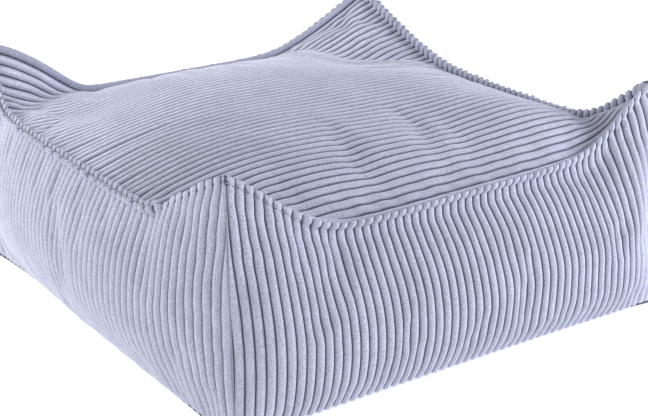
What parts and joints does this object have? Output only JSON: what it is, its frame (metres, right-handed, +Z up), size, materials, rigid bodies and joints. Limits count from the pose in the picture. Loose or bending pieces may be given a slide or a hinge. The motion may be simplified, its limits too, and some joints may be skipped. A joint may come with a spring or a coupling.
{
  "type": "bean bag footstool",
  "caption": "Low square bean bag footstool in wide-wale corduroy, with a crowned top, soft bulging sides, pointed raised corners and a raised top seam; it rests on its flat base.",
  "frame": {"origin": "on the floor, under the middle of the stool", "axes": "+Z up; -Y towards the front, whose raised corners are lowest at the middle; the wales of the top run along X"},
  "size_m": [0.6968, 0.6744, 0.2906],
  "materials": {
    "corduroy": "soft lavender-grey cotton corduroy with wide rounded wales, a velvety pile sheen and darker grooves",
    "filling": "plain matt cloth, wholly covered by the corduroy panels"
  },
  "bodies": {
    "root": {"filled_body": "filling", "top_panel": "corduroy", "side_front": "corduroy", "side_right": "corduroy", "side_back": "corduroy", "side_left": "corduroy", "bottom_panel": "corduroy"}
  },
  "joints": []
}
